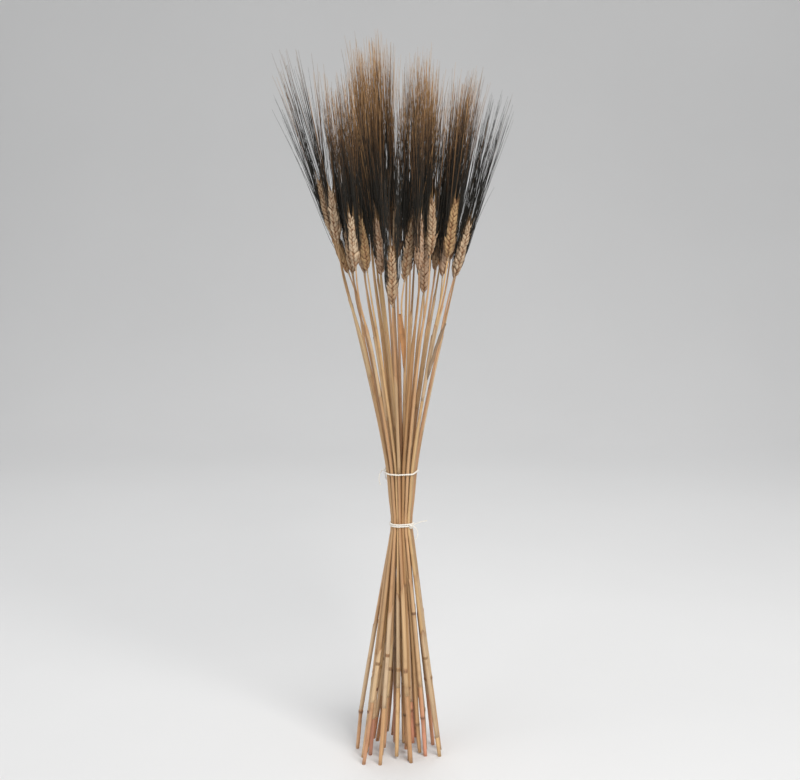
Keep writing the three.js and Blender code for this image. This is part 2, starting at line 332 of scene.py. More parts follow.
def joined(surfaces):
    """One surface that holds all of the given ones."""
    starts = np.cumsum([0] + [len(surface.points) for surface in surfaces[:-1]])
    corners = np.concatenate([surface.corners + start for surface, start in zip(surfaces, starts)])

    def gathered(name):
        return np.concatenate([getattr(surface, name) for surface in surfaces])

    return Surface(gathered("points"), corners, gathered("sizes"), gathered("tone"), gathered("fibre"))


def add_piece(name, surface, material, node):
    """Puts a surface into a mesh object that rides on the frame and stands for the given node."""
    mesh = bpy.data.meshes.new(name)
    mesh.vertices.add(len(surface.points))
    mesh.vertices.foreach_set("co", surface.points.astype(np.float32).ravel())
    mesh.loops.add(len(surface.corners))
    mesh.loops.foreach_set("vertex_index", surface.corners.astype(np.int32))
    mesh.polygons.add(len(surface.sizes))
    starts = np.cumsum(surface.sizes) - surface.sizes
    mesh.polygons.foreach_set("loop_start", starts.astype(np.int32))
    mesh.polygons.foreach_set("use_smooth", np.ones(len(surface.sizes), bool))
    tone = mesh.attributes.new("tone", "FLOAT_COLOR", "POINT")
    opaque = np.concatenate([surface.tone, np.ones((len(surface.tone), 1))], axis=1)
    tone.data.foreach_set("color", opaque.astype(np.float32).ravel())
    fibre = mesh.attributes.new("fibre", "FLOAT_VECTOR", "POINT")
    fibre.data.foreach_set("vector", surface.fibre.astype(np.float32).ravel())
    mesh.update(calc_edges=True)
    if mesh.validate():
        raise RuntimeError(f"{name} has faces that can't be kept")
    mesh.materials.append(material)
    piece = bpy.data.objects.new(name, mesh)
    bpy.context.scene.collection.objects.link(piece)
    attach(piece, "root")
    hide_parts(node)


# Materials

MIX_SHARE, MIX_FIRST, MIX_SECOND, MIX_RESULT = 0, 6, 7, 2
RELIEF_DEPTH = 0.15 * MM
PLANT_SHINE, PAINT_SHINE, PAINT_ROUGHNESS = 0.35, 0.2, 0.9
CLOUD_SCALE, CLOUD_SHADE = 2.2, 0.93
# Painted shade on the backdrop: from DIM_FROM to DIM_TO metres back its colour falls to the share DIM_LEAST.
DIM_FROM, DIM_TO, DIM_LEAST = 0.5, 2.3, 0.8


def feed(tree, node, sockets):
    """Gives each named or numbered input of a node a link from an output, or a constant."""
    for socket, value in sockets.items():
        if isinstance(value, bpy.types.NodeSocket):
            tree.links.new(value, node.inputs[socket])
        else:
            node.inputs[socket].default_value = value


def add_node(tree, kind, sockets, **attributes):
    """A new shader node with its attributes set and its inputs fed."""
    node = tree.nodes.new(f"ShaderNode{kind}")
    for name, value in attributes.items():
        setattr(node, name, value)
    feed(tree, node, sockets)
    return node


def new_group(name, inputs, outputs):
    """An empty shader node group with float inputs and outputs, and its input and output nodes."""
    group = bpy.data.node_groups.new(name, "ShaderNodeTree")
    for label, default in inputs.items():
        socket = group.interface.new_socket(label, in_out="INPUT", socket_type="NodeSocketFloat")
        socket.default_value = default
    for label in outputs:
        group.interface.new_socket(label, in_out="OUTPUT", socket_type="NodeSocketFloat")
    return group, group.nodes.new("NodeGroupInput"), group.nodes.new("NodeGroupOutput")


def new_material(name):
    """A material with its node tree and its shader."""
    material = bpy.data.materials.new(name)
    material.use_nodes = True
    return material, material.node_tree, material.node_tree.nodes["Principled BSDF"]


def streak_group():
    """Lengthwise fibre lines: a noise on the straightened place, drawn out along the fibre.

    Shade is a factor round 1 for the colour, and Height feeds a bump.
    """
    group, given, made = new_group(
        "Fibre streaks", {"Lines": 2.5, "Stretch": 0.03, "Contrast": 0.3}, ["Shade", "Height"])
    place = add_node(group, "Attribute", {}, attribute_name="fibre")
    squeeze = add_node(group, "CombineXYZ", {"X": 1.0, "Y": 1.0, "Z": given.outputs["Stretch"]})
    drawn = add_node(group, "VectorMath", {0: place.outputs["Vector"], 1: squeeze.outputs["Vector"]},
                     operation="MULTIPLY")
    per_metre = add_node(group, "Math", {0: given.outputs["Lines"], 1: 1.0 / MM}, operation="MULTIPLY")
    fine = add_node(group, "TexNoise", {
        "Vector": drawn.outputs["Vector"], "Scale": per_metre.outputs["Value"], "Detail": 3.0,
        "Roughness": 0.6})
    centred = add_node(group, "Math", {0: fine.outputs["Fac"], 1: 0.5}, operation="SUBTRACT")
    shade = add_node(group, "Math", {0: centred.outputs["Value"], 1: given.outputs["Contrast"], 2: 1.0},
                     operation="MULTIPLY_ADD")
    feed(group, made, {"Shade": shade.outputs["Value"], "Height": fine.outputs["Fac"]})
    return group


def weather_group():
    """Blotches of age: a coarse noise on Object coordinates, kept only where it is high."""
    group, given, made = new_group("Weather blotches", {"Scale": 60.0, "Amount": 0.5}, ["Mask"])
    place = add_node(group, "TexCoord", {})
    noise = add_node(group, "TexNoise", {
        "Vector": place.outputs["Object"], "Scale": given.outputs["Scale"], "Detail": 4.0, "Roughness": 0.65})
    kept = add_node(group, "MapRange", {"Value": noise.outputs["Fac"], "From Min": 0.5, "From Max": 0.78},
                    interpolation_type="SMOOTHSTEP")
    scaled = add_node(group, "Math", {0: kept.outputs["Result"], 1: given.outputs["Amount"]},
                      operation="MULTIPLY")
    feed(group, made, {"Mask": scaled.outputs["Value"]})
    return group


@dataclass
class Finish:
    """What tells one dry plant finish from another."""

    lines: float
    stretch: float
    contrast: float
    weather: float
    weather_colour: tuple
    rough: tuple
    relief: float
    weather_scale: float = 60.0
    sheen: float = 0.0


def plant_material(name, finish):
    """A dry plant skin: the point colours times the fibre streaks, darkened by weather blotches.

    Roughness runs between the finish's two values with the streaks, and the streaks raise a bump.
    """
    groups = bpy.data.node_groups
    streaks = groups.get("Fibre streaks") or streak_group()
    weather = groups.get("Weather blotches") or weather_group()
    material, tree, skin = new_material(name)
    tone = add_node(tree, "Attribute", {}, attribute_name="tone")
    lines = add_node(tree, "Group", {
        "Lines": finish.lines, "Stretch": finish.stretch, "Contrast": finish.contrast}, node_tree=streaks)
    shaded = add_node(tree, "VectorMath", {0: tone.outputs["Color"], "Scale": lines.outputs["Shade"]},
                      operation="SCALE")
    age = add_node(tree, "Group", {"Amount": finish.weather, "Scale": finish.weather_scale},
                   node_tree=weather)
    aged = add_node(tree, "Mix", {
        MIX_SHARE: age.outputs["Mask"], MIX_FIRST: shaded.outputs["Vector"],
        MIX_SECOND: (*finish.weather_colour, 1.0)}, data_type="RGBA")
    smoothest, roughest = finish.rough
    gloss = add_node(tree, "MapRange", {
        "Value": lines.outputs["Height"], "To Min": smoothest, "To Max": roughest})
    relief = add_node(tree, "Bump", {
        "Strength": finish.relief, "Distance": RELIEF_DEPTH, "Height": lines.outputs["Height"]})
    feed(tree, skin, {
        "Base Color": aged.outputs[MIX_RESULT], "Roughness": gloss.outputs["Result"],
        "Normal": relief.outputs["Normal"], "Specular IOR Level": PLANT_SHINE, "Sheen Weight": finish.sheen})
    return material


def backdrop_material(colour):
    """Matt pale paint with faint cloudy patches, and painted shade that darkens it a little towards the back.
    """
    material, tree, skin = new_material("Pale backdrop")
    place = add_node(tree, "TexCoord", {})
    clouds = add_node(tree, "TexNoise", {
        "Vector": place.outputs["Object"], "Scale": CLOUD_SCALE, "Detail": 5.0})
    tint = add_node(tree, "Mix", {
        MIX_SHARE: clouds.outputs["Fac"], MIX_FIRST: (*(CLOUD_SHADE * np.array(colour)), 1.0),
        MIX_SECOND: (*colour, 1.0)}, data_type="RGBA")
    parts = add_node(tree, "SeparateXYZ", {"Vector": place.outputs["Object"]})
    # Painted shade: the colour darkens towards the back.
    dim = add_node(tree, "MapRange", {
        "Value": parts.outputs["Y"], "From Min": DIM_FROM, "From Max": DIM_TO, "To Min": 1.0,
        "To Max": DIM_LEAST})
    dimmed = add_node(tree, "VectorMath", {0: tint.outputs[MIX_RESULT], "Scale": dim.outputs["Result"]},
                      operation="SCALE")
    feed(tree, skin, {
        "Base Color": dimmed.outputs["Vector"], "Roughness": PAINT_ROUGHNESS,
        "Specular IOR Level": PAINT_SHINE})
    return material


# Culms

NODE_HEIGHTS, NODE_SPACING = (18 * MM, 128 * MM), (105 * MM, 140 * MM)
SECOND_NODE_CHANCE = 0.08
NODE_REACH, NODE_RINGS = 9 * MM, 15
CULM_STEP = 9 * MM
# Bells round a node for its swelling and its stain: height, then place from the node and width in mm.
NODE_SWELLING = [(0.2, 0.0, 2.2), (-0.1, -9.0, 5.0)]
NODE_STAIN = [(0.68, 0.0, 1.9), (0.25, -6.0, 7.0)]
STAIN_STRENGTH, STAIN_MOST = (0.6, 1.1), 0.9
LOWER_BOW = 1.3 * MM
NODE_KINK = 0.03
FULL_AT = np.array([0, 40, 90, 170, 230, 273, 334, 380, 440, 520]) * MM
FULL = np.array([1.0, 1.14, 1.25, 1.25, 1.16, 1.11, 1.11, 1.02, 0.9, 0.8])
NECK_FROM, NECK_TO, NECK_THIN = 70 * MM, 25 * MM, 0.15
HOLLOW_END = 0.3
BLEACH_MOST = 0.6
RUSTY, BLUSHED = (-0.5, 0.7), (-0.6, 0.75)
BLUSH_FADE = (20 * MM, 110 * MM)
PALE_FOOT, PALE_FOOT_FADE = 0.16, (40 * MM, 150 * MM)
BRIGHTNESS = (0.8, 1.08)
HUE_SCATTER = np.array([0.02, 0.015, 0.08])
HOLLOW_SHADE = 0.45
ANY_TURN = 6.0
SHEATH_RINGS = 14
SHEATH_FOOT, SHEATH_LIP = 0.35, 0.25 * MM
SHEATH_SLANT, SHEATH_NOTCH = 5 * MM, 1.2 * MM
SHEATH_PALE, SHEATH_BRIGHTNESS = (0.15, 0.9), (0.85, 1.05)
UPPER_SHEATH_CHANCE, LOWER_SHEATH_CHANCE = 0.35, 0.75
UPPER_SHEATH_UNDER_EAR, UPPER_SHEATH_LENGTH = (50 * MM, 100 * MM), (80 * MM, 120 * MM)
LOWER_SHEATH_FOOT, LOWER_SHEATH_LENGTH = (20 * MM, 90 * MM), (50 * MM, 130 * MM)


def culm_nodes(draws):
    """The heights of a culm's one or two nodes."""
    low = draws.uniform(*NODE_HEIGHTS)
    high = low + draws.uniform(*NODE_SPACING)
    return [low, high] if draws.random() < SECOND_NODE_CHANCE else [low]


def node_bells(at, nodes, bells):
    """The sum of the given bells round every node, at lengths along a culm."""
    return sum(high * bump_at(at, node + place * MM, width * MM)
               for node in nodes for high, place, width in bells)


def culm_line(stalk, at):
    """Points on a culm's line: a smooth curve through its knots, with a slight bow of its own under the ties.

    The bow grows and falls by the square of a sine between the foot and the lower tie. Under its first node
    the culm also runs a little off its line, by a slope times the depth below the node.
    """
    line = smooth_line(stalk.knots, at)
    draws = stalk.random(BOW_DRAWS)
    bow = draws.normal(0.0, LOWER_BOW, 2)
    share = np.clip(line[:, 2] / stalk.knots[LOWER_TIE_RING, 2], 0.0, 1.0)
    line[:, :2] += np.sin(np.pi * share)[:, None] ** 2 * bow
    kink = draws.normal(0.0, NODE_KINK, 2)
    first_node = culm_nodes(stalk.random(CULM_DRAWS))[0]
    line[:, :2] += np.clip(first_node - line[:, 2], 0.0, None)[:, None] * kink
    return line


def culm_radius(stalk, height):
    """A culm's radius at heights: its node's own, times a table of fullness and a thinning to the ear."""
    own = np.interp(height, stalk.knots[:, 2], stalk.radii)
    fuller = np.interp(height, FULL_AT, FULL)
    neck = 1.0 - NECK_THIN * smoothstep(stalk.collar[2] - NECK_FROM, stalk.collar[2] - NECK_TO, height)
    return own * fuller * neck


def culm_tone(at, nodes, settings, draws):
    """A straw's colours at lengths along it, one row a ring.

    Straw mixed with its own share of rust, bleached by a sine round it, blushed towards the foot, stained at
    the nodes, and lighter at the foot.
    """
    turn = full_turn(settings.sides)
    bleach = draws.uniform(0.0, BLEACH_MOST) * (0.5 + 0.5 * np.sin(turn + draws.uniform(0.0, ANY_TURN)))
    rusty = np.clip(draws.uniform(*RUSTY), 0.0, 1.0)
    tone = mixed(settings.straw, settings.rust, np.full((len(at), settings.sides), rusty))
    tone = mixed(tone, settings.pale, bleach[None])
    blush = np.clip(draws.uniform(*BLUSHED), 0.0, 1.0) * (1.0 - smoothstep(*BLUSH_FADE, at))
    tone = mixed(tone, settings.blush, blush[:, None])
    stain = node_bells(at, nodes, NODE_STAIN) * draws.uniform(*STAIN_STRENGTH)
    tone = mixed(tone, settings.node, np.clip(stain, 0.0, STAIN_MOST)[:, None])
    tint = draws.uniform(*BRIGHTNESS) * draws.normal(1.0, HUE_SCATTER)
    pale_foot = 1.0 + PALE_FOOT * (1.0 - smoothstep(*PALE_FOOT_FADE, at))
    return tone * tint * pale_foot[:, None, None]


def culm_surface(stalk, settings):
    """A hollow straw: a tube along the stalk's line with swollen dark nodes.

    The radius is the culm's own, times 1 plus bells at each node. The foot turns inwards to the hollow, whose
    wall runs back up to a closed end.
    """
    draws = stalk.random(CULM_DRAWS)
    total = chord_length(stalk.knots)
    nodes = culm_nodes(draws)
    evenly = np.linspace(0.0, total, int(total / CULM_STEP))
    close = np.linspace(-NODE_REACH, NODE_REACH, NODE_RINGS)
    at = np.unique(np.concatenate([evenly] + [node + close for node in nodes]))
    at = at[(at >= 0.0) & (at <= total)]
    outside = culm_line(stalk, at)
    radius = culm_radius(stalk, outside[:, 2]) * (1.0 + node_bells(at, nodes, NODE_SWELLING))

    bore = radius[0] - settings.wall
    depth = np.array([settings.hollow, settings.hollow * 0.5, 0.0])
    line = np.concatenate([culm_line(stalk, depth), outside])
    radius = np.concatenate([[bore * HOLLOW_END, bore, bore], radius])
    rings, fibre = tube_rings_inward(line, radius, settings.sides, len(depth))
    cut = slice(len(depth) - 1, len(depth) + 1)
    rings[cut, :, 2] = stalk.knots[0, 2]
    fibre[..., 2] += draws.uniform(0.0, 1.0)

    tone = culm_tone(np.concatenate([depth, at]), nodes, settings, draws)
    # Painted shade: the inside of the hollow at the cut end is darkened.
    tone[:len(depth)] *= HOLLOW_SHADE
    return closed_tube(rings, tone, fibre)


def tube_rings_inward(line, radius, sides, turned):
    """Tube rings whose first few run down the inside of the foot before the outside runs up.

    The inner rings take the frame of the foot, so that the tube turns over at the cut without a twist.
    """
    outer, fibre = tube_rings(line[turned:], radius[turned:], sides)
    foot = (outer[0] - line[turned]) / radius[turned]
    inner = line[:turned, None] + foot[None] * radius[:turned, None, None]
    inner_fibre = np.repeat(fibre[:1], turned, axis=0)
    return np.concatenate([inner, outer]), np.concatenate([inner_fibre, fibre])


def sheath_surface(stalk, low, high, settings, draws):
    """A leaf sheath round a straw: a closed sleeve a little wider than it, cut slantwise at its top.

    The rings near the top are moved along the straw by two cosines of the angle round it.
    """
    at = np.linspace(low, high, SHEATH_RINGS)
    line = culm_line(stalk, at)
    share = np.linspace(0.0, 1.0, len(at))
    stand_off = settings.sheath * (SHEATH_FOOT + (1.0 - SHEATH_FOOT) * share)
    radius = culm_radius(stalk, line[:, 2]) + stand_off + SHEATH_LIP * smoothstep(0.85, 1.0, share)
    rings, fibre = tube_rings(line, radius, settings.sides)
    turn = full_turn(settings.sides)
    slant = SHEATH_SLANT * np.cos(turn + draws.uniform(0.0, ANY_TURN))
    slant = slant + SHEATH_NOTCH * np.cos(3 * turn + draws.uniform(0.0, ANY_TURN))
    ahead = unit(line[-1] - line[-2])
    rings += (smoothstep(0.6, 1.0, share)[:, None] * slant)[..., None] * ahead
    fibre[..., 2] += draws.uniform(0.0, 1.0)
    pale = np.full(rings.shape[:2], draws.uniform(*SHEATH_PALE))
    edge = 0.5 * smoothstep(0.9, 1.0, share)[:, None]
    tone = mixed(mixed(settings.straw, settings.pale, pale), settings.rust, edge)
    tone = tone * draws.uniform(*SHEATH_BRIGHTNESS) * draws.normal(1.0, HUE_SCATTER / 3.0)
    return closed_tube(rings, tone, fibre)


class WHEAT_OT_culms(bpy.types.Operator):
    """Make the straws, with their nodes, sheaths and hollow cut ends"""

    bl_idname = "wheat.culms"
    bl_label = "Straws"

    def execute(self, context):
        settings = context.scene.wheat_culms
        straw = plant_material("Straw", Finish(
            lines=1.1, stretch=0.02, contrast=1.0, weather=0.45, weather_colour=srgb(140, 94, 60),
            rough=(0.38, 0.62), relief=0.5))
        for stalk in stalks:
            draws = stalk.random(SHEATH_DRAWS)
            surfaces = [culm_surface(stalk, settings)]
            if draws.random() < UPPER_SHEATH_CHANCE:
                high = chord_length(stalk.knots) - draws.uniform(*UPPER_SHEATH_UNDER_EAR)
                low = high - draws.uniform(*UPPER_SHEATH_LENGTH)
                surfaces.append(sheath_surface(stalk, low, high, settings, draws))
            if draws.random() < LOWER_SHEATH_CHANCE:
                low = draws.uniform(*LOWER_SHEATH_FOOT)
                high = low + draws.uniform(*LOWER_SHEATH_LENGTH)
                surfaces.append(sheath_surface(stalk, low, high, settings, draws))
            add_piece(f"straw_{stalk.number}", joined(surfaces), straw, f"stalk_{stalk.number}")
        return {"FINISHED"}


# Ears

@dataclass
class Husk:
    """One kind of husk on a spikelet, in millimetres and degrees.

    out is its foot's distance to the spikelet's own side, front its distance to the ear's face or back, and
    rise its height over the spikelet's foot. lean tips it sideways and tilt towards the face or back. awned
    is the chance that it bears an awn.
    """

    front_side: int
    out: float
    front: float
    rise: float
    lean: float
    tilt: float
    length: float
    width: float
    thickness: float
    awned: float


HUSKS = [
    Husk(1, -0.4, 2.1, 0.0, 24, 8, 9.6, 5.0, 2.7, 0.0),
    Husk(-1, -0.4, 2.1, 0.0, 24, 8, 9.6, 5.0, 2.7, 0.0),
    Husk(1, 1.2, 1.1, 1.0, 21, 5, 11.0, 4.5, 2.7, 1.0),
    Husk(-1, 1.2, 1.1, 1.0, 21, 5, 11.0, 4.5, 2.7, 1.0),
    Husk(0, 1.8, 0.0, 1.8, 21, 0, 10.2, 4.6, 2.7, 0.9),
]
SWELL_AT = [0.0, 0.1, 0.28, 0.6, 0.85, 1.0]
SWELL = [0.82, 0.93, 0.96, 0.89, 0.76, 0.62]
LEAN_AT = [0.0, 0.12, 0.3, 0.6, 1.0]
LEAN = [0.9, 1.1, 0.97, 0.9, 0.62]
FOOT_END = 0.16
GATHER, SLIM, STRETCH = [0.25, 1.0], [0.62, 1.0], [1.2, 1.0]
LOWEST_SPIKELET, SPIKELET_SPAN = -0.01, 0.845
LEAN_SCATTER, TILT_SCATTER, SIZE_SCATTER = 3.5, 3.0, 0.07
SIDE_OUTWARD, FACE_OUTWARD = 0.45, 0.9
# The three husks of the spikelet at the top: which way each points, which way it looks, and their size.
TOP_ALONG = np.array([[0.1, 0.25, 1.0], [-0.1, -0.25, 1.0], [0.12, -0.02, 1.0]])
TOP_OUTWARD = np.array([[0.2, 1.0, 0.0], [-0.2, -1.0, 0.0], [1.0, 0.0, 0.0]])
TOP_SIZE = np.array([3.2, 2.2, 10.5]) * MM
TOP_FOOT, TOP_STEP = 0.86, 0.5 * MM
HUSK_RINGS = np.array([0.02, 0.13, 0.28, 0.46, 0.66, 0.84, 0.96])[:, None]
HUSK_SIDES = 6
HUSK_TURN = np.pi / HUSK_SIDES + full_turn(HUSK_SIDES)[None]
HUSK_WIDEST, SWELL_POWER, CLOSE_POWER = 0.4, 0.75, 1.1
CROWN_DEPTH, INNER_DEPTH, HUSK_BOW = 0.55, 0.25, 0.3
KEEL, KEEL_POWER = 0.16, 8
INSIDE_FROM = -0.1
# Shares of the gap brown in a husk: painted shade at its edges, inside and foot, the brown of its point, and
# the most random wear.
EDGE_PAINTED_SHADE, INSIDE_PAINTED_SHADE, FOOT_PAINTED_SHADE, POINT_BROWN, WORN_MOST = 0.55, 0.6, 0.85, 0.25, 0.5
HUSK_TONE_SCATTER = 0.1
CORE_SHARES = np.array([-0.035, 0.0, 0.05, 0.2, 0.45, 0.7, 0.88])
CORE_RADII = np.array([0.95, 1.1, 1.7, 2.9, 3.0, 2.1, 0.7]) * MM
CORE_SIDES, CORE_FLATTENING = 8, 0.2


@dataclass
class HuskSet:
    """All husks of an ear: where each starts, its three directions in rows, its sizes and its awn chance."""

    origin: np.ndarray
    frame: np.ndarray
    size: np.ndarray
    awned: np.ndarray


# How far the faces of the ears that the front shows best are turned from the front to the right, in degrees.
FACE_TURNS = {
    "01": -10, "02": -28, "03": -40, "04": -18, "05": 14, "06": -30, "07": 20, "08": 38, "09": 4, "10": -8,
    "11": 30, "12": 70, "13": 0, "14": 24, "15": 60, "16": -12, "17": 40, "18": 22, "19": 65,
}
FACE_SCATTER = 0.5


def ear_directions(stalk):
    """Rows of an ear's side, face and axis.

    The face has a turn of its own, or looks away from the bundle's middle with some scatter.
    """
    draws = stalk.random(EAR_DRAWS)
    axis = stalk.heading
    away = stalk.collar - MIDDLE
    turn = np.arctan2(away[0], -away[1]) + draws.uniform(-FACE_SCATTER, FACE_SCATTER)
    turn = np.radians(FACE_TURNS.get(stalk.number, np.degrees(turn)))
    face = np.array([np.sin(turn), -np.cos(turn), 0.0])
    face = unit(face - (face @ axis) * axis)
    return np.stack([np.cross(face, axis), face, axis])


def husk_frames(outward, along):
    """Rows of across, outwards and along for husks that look outward and point along."""
    across = unit(np.cross(outward, along))
    return np.stack([across, np.cross(along, across), along], axis=1)


def lay_husks(stalk, length, settings):
    """The husks of one ear, in the ear's own side, face and axis.

    Spikelet k stands at a height that grows evenly with k, on the right where k is even and on the left where
    it is odd. A swelling over the height sizes it: slim at both ends of the ear. At the foot of the ear the
    husks are gathered to the stem, so that they open from it like a funnel.
    """
    draws = stalk.random(HUSK_DRAWS)
    count = settings.spikelets
    share = np.arange(count) / (count - 1)
    hand = np.where(np.arange(count) % 2 == 0, 1.0, -1.0)
    swell = np.interp(share, SWELL_AT, SWELL)
    leaning = np.interp(share, LEAN_AT, LEAN)
    gather, slim, stretch = (np.interp(share, [0.0, FOOT_END], table) for table in (GATHER, SLIM, STRETCH))
    gather = gather * swell
    build = np.stack([slim, slim, stretch], axis=-1) * swell[:, None] * MM
    foot = length * (LOWEST_SPIKELET + SPIKELET_SPAN * share)
    origins, frames, sizes, awned = [], [], [], []
    for husk in HUSKS:
        lean = np.radians(husk.lean * leaning + draws.normal(0.0, LEAN_SCATTER, count))
        tilt = np.radians(husk.tilt + draws.normal(0.0, TILT_SCATTER, count)) * husk.front_side
        along = unit(np.stack([hand * np.tan(lean), np.tan(tilt), np.ones(count)], axis=-1))
        sideways = hand * (1.0 if husk.front_side == 0 else SIDE_OUTWARD)
        faceways = np.full(count, FACE_OUTWARD * husk.front_side)
        frames.append(husk_frames(np.stack([sideways, faceways, np.zeros(count)], axis=-1), along))
        place = [hand * husk.out * gather, husk.front_side * husk.front * gather, np.full(count, husk.rise)]
        origins.append(np.stack(place, axis=-1) * MM + foot[:, None] * UP)
        size = build * (husk.width, husk.thickness, husk.length)
        sizes.append(size * draws.normal(1.0, SIZE_SCATTER, (count, 3)))
        awned.append(np.full(count, husk.awned))
    frames.append(husk_frames(TOP_OUTWARD, unit(TOP_ALONG)))
    origins.append(TOP_OUTWARD * TOP_STEP + TOP_FOOT * length * UP)
    sizes.append(np.tile(TOP_SIZE, (len(TOP_ALONG), 1)))
    awned.append(np.ones(len(TOP_ALONG)))
    return HuskSet(*map(np.concatenate, (origins, frames, sizes, awned)))


def husk_form():
    """One husk of unit size: across, outwards and along.

    The outline swells with a power of the length to its widest, and closes by a cosine to a point. Outwards
    it is deep with a keel down its middle, inwards it is shallow, and its line bows outwards by a sine.
    """
    u, turn = HUSK_RINGS, HUSK_TURN
    closing = np.cos(np.pi / 2 * np.clip((u - HUSK_WIDEST) / (1.0 - HUSK_WIDEST), 0, 1))
    outline = np.where(u < HUSK_WIDEST, (u / HUSK_WIDEST) ** SWELL_POWER, closing ** CLOSE_POWER)
    across = 0.5 * outline * np.cos(turn)
    depth = np.where(np.sin(turn) > 0.0, CROWN_DEPTH, INNER_DEPTH)
    keel = KEEL * np.clip(np.sin(turn), 0.0, 1.0) ** KEEL_POWER
    outwards = outline * (depth * np.sin(turn) + keel) + HUSK_BOW * np.sin(np.pi * u)
    return np.stack([across, outwards, np.broadcast_to(u, across.shape)], axis=-1)


def husk_tone(count, crown, gap, draws):
    """Husk colours: the crown's colour down the middle, brown painted shade at the edges, inside and foot,
    and brown at the point.
    """
    u, turn = HUSK_RINGS, HUSK_TURN
    # Painted shade: the edges, inner face and foot of each husk, which lie in the shade of its neighbours,
    # are mixed towards brown.
    brown = EDGE_PAINTED_SHADE * np.abs(np.cos(turn)) ** 2 + INSIDE_PAINTED_SHADE * (np.sin(turn) < INSIDE_FROM)
    brown = brown + FOOT_PAINTED_SHADE * (1.0 - smoothstep(0.1, 0.5, u)) + POINT_BROWN * smoothstep(0.86, 0.97, u)
    worn = WORN_MOST * draws.random((count, 1, 1)) ** 2
    tone = mixed(crown, gap, np.clip(brown + worn, 0.0, 1.0))
    return tone * draws.normal(1.0, HUSK_TONE_SCATTER, (count, 1, 1, 1))


# The ears that the front shows best have their own hues, and the others draw one.
HUES = ("cream", "tan", "golden", "mauve")
EAR_HUES = {
    "01": "tan", "02": "cream", "04": "cream", "05": "golden", "08": "mauve", "09": "tan", "10": "tan",
    "12": "mauve", "13": "mauve", "14": "tan", "16": "golden", "17": "mauve", "18": "cream", "19": "tan",
}
HUE_BRIGHTNESS = (0.9, 1.05)


def ear_hue(stalk, settings, draws):
    """An ear's crown colour: its own hue or a drawn one, a little lighter or darker."""
    drawn = draws.choice(HUES)
    hue = EAR_HUES.get(stalk.number, drawn)
    return np.array(getattr(settings, hue)) * draws.uniform(*HUE_BRIGHTNESS)


def ear_core(stalk, length, rows, settings):
    """The stem inside an ear: a slim closed spindle, flatter from face to back, tan at its foot and darker
    inside the ear as painted shade.
    """
    line = stalk.collar + CORE_SHARES[:, None] * length * stalk.heading
    rings, fibre = tube_rings(line, CORE_RADII, CORE_SIDES, rows[0])
    squeeze = (rings - line[:, None]) @ rows[1]
    rings -= CORE_FLATTENING * squeeze[..., None] * rows[1]
    # Painted shade: the core goes from tan to the darker core colour where it lies inside the ear, between
    # the husks.
    inside = np.repeat(smoothstep(0.02, 0.12, CORE_SHARES)[:, None], CORE_SIDES, axis=1)
    return closed_tube(rings, mixed(settings.tan, settings.core, inside), fibre)


def ear_length(stalk, settings):
    """An ear's length: a share of the reach from its collar to the farthest awn tip of its node."""
    reach = ((node_points(f"stalk_{stalk.number}") - stalk.collar) @ stalk.heading).max()
    return settings.share * reach


class WHEAT_OT_ears(bpy.types.Operator):
    """Make the ears: husks in alternating spikelets round a slim core"""

    bl_idname = "wheat.ears"
    bl_label = "Ears"

    def execute(self, context):
        settings = context.scene.wheat_ears
        chaff = plant_material("Chaff", Finish(
            lines=2.6, stretch=0.08, contrast=1.0, weather=0.45, weather_colour=srgb(128, 92, 62),
            weather_scale=220.0, rough=(0.5, 0.72), relief=0.9, sheen=0.05))
        form = husk_form()
        for stalk in stalks:
            draws = stalk.random(HUE_DRAWS)
            length = ear_length(stalk, settings)
            rows = ear_directions(stalk)
            husks = lay_husks(stalk, length, settings)
            sized = form[None] * husks.size[:, None, None]
            rings = husks.origin[:, None, None] + np.einsum("hrsc,hcd->hrsd", sized, husks.frame)
            rings = stalk.collar + rings @ rows
            tone = husk_tone(len(rings), ear_hue(stalk, settings, draws), settings.gap, draws)
            fibre = sized + draws.uniform(0.0, 1.0, (len(rings), 1, 1, 3))
            surfaces = [closed_tubes(rings, tone, fibre), ear_core(stalk, length, rows, settings)]
            add_piece(f"spikelets_{stalk.number}", joined(surfaces), chaff, f"stalk_{stalk.number}")
        return {"FINISHED"}


# Awns

AWN_SHARES = np.array([0.0, 0.014, 0.035, 0.1, 0.22, 0.36, 0.52, 0.7, 0.86, 1.0])
AWN_SIDES = 3
AWN_TURN = 5 * MM
AWN_LEAST, AWN_LENGTH_POWER = 0.6, 0.85
AWN_FOOT = 0.9
AWN_SCATTER, AWN_OPENING = 2.1, (1.2, 0.9)
AWN_BOW = 3.2 * MM
TOP_SHORTENING = 0.2
BROKEN_CHANCE, BROKEN_LENGTH = 0.08, (0.35, 0.75)
TIP_RADIUS, TAPER = 0.28, 0.6
EAR_DARK_SCATTER, AWN_DARK_SCATTER = 9 * MM, 34 * MM
PALE_CHANCE, PALE_DROP = 0.04, 90 * MM
DARK_EDGE, BROWN_EDGE, GOLD_EDGE = -14 * MM, 34 * MM, 90 * MM
AWN_THICKNESS, AWN_BRIGHTNESS = (0.8, 1.1), (0.75, 1.2)
# An awn is straw-coloured for this many millimetres from its husk, and for more on the ear's highest husks.
STRAW_FOOT, STRAW_REACH, TOP_STRAW_REACH = 0.85, 3.0, 9.0
# The ears behind the front ones also bear awns on this share of their outer husks.
FRONT_EARS, GLUME_AWNS = 19, 0.35
# The beards at the sides, which stay dark higher up.
DARK_TO_TIP, DARKER_BY = ("01", "03", "18", "19"), 70 * MM
